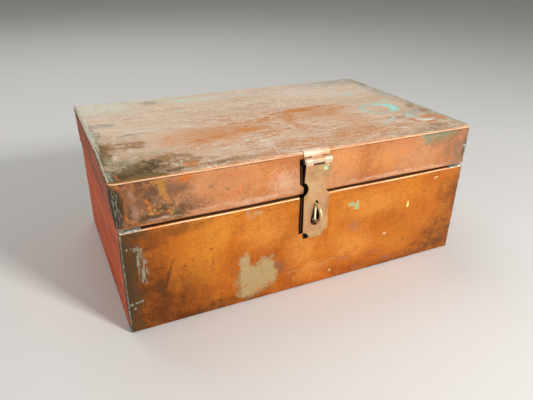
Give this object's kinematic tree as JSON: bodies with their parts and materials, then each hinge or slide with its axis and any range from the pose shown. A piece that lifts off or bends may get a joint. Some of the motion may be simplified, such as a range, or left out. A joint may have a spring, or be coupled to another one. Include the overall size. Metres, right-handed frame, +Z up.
{
  "type": "small metal trunk",
  "caption": "Low rectangular copper sheet box for papers and keepsakes, with a hinged full lid, soldered seams and a brass hasp over a staple.",
  "frame": {"origin": "middle of the base, on the surface that the box stands on", "axes": "+X along the length, to the right seen from the front; +Y to the back, where the hinges are; +Z up"},
  "size_m": [0.342, 0.234, 0.1383],
  "materials": {
    "body_copper": "copper sheet, rubbed orange with brown and tan stains",
    "lid_copper": "copper sheet, tarnished pink and beige with green spots",
    "solder": "dull soft solder",
    "hasp_brass": "tarnished brass",
    "staple_brass": "worn brass wire",
    "hinge_brass": "dark tarnished brass"
  },
  "bodies": {
    "box": {"body_trough": "body_copper", "body_left_end": "body_copper", "body_right_end": "body_copper", "body_seam_solder": "solder", "shelf_corner_solder": "solder", "staple": "staple_brass", "staple_backing_plate": "hinge_brass", "left_hinge_body_leaf": "hinge_brass", "left_hinge_pin": "hinge_brass", "right_hinge_body_leaf": "hinge_brass", "right_hinge_pin": "hinge_brass", "hinge_body_rivets": "hinge_brass"},
    "lid": {"lid_sheet": "lid_copper", "lid_left_end": "lid_copper", "lid_right_end": "lid_copper", "lid_seam_solder": "solder", "hasp_fixed_leaf": "hasp_brass", "hasp_leaf_solder": "solder", "hasp_pin": "hasp_brass", "left_hinge_lid_leaf": "hinge_brass", "right_hinge_lid_leaf": "hinge_brass", "hinge_lid_rivets": "hinge_brass"},
    "hasp": {"hasp_plate": "hasp_brass"}
  },
  "joints": [
    {"name": "lid_hinge", "type": "hinge", "parent": "box", "child": "lid", "pos_m": [0, 0.1098, 0.0974], "axis": [-1, 0, 0], "range_deg": [0, 180]},
    {"name": "hasp_swing", "type": "hinge", "parent": "lid", "child": "hasp", "pos_m": [-0.0014, -0.1098, 0.1299], "axis": [-1, 0, 0], "range_deg": [0, 165]}
  ]
}
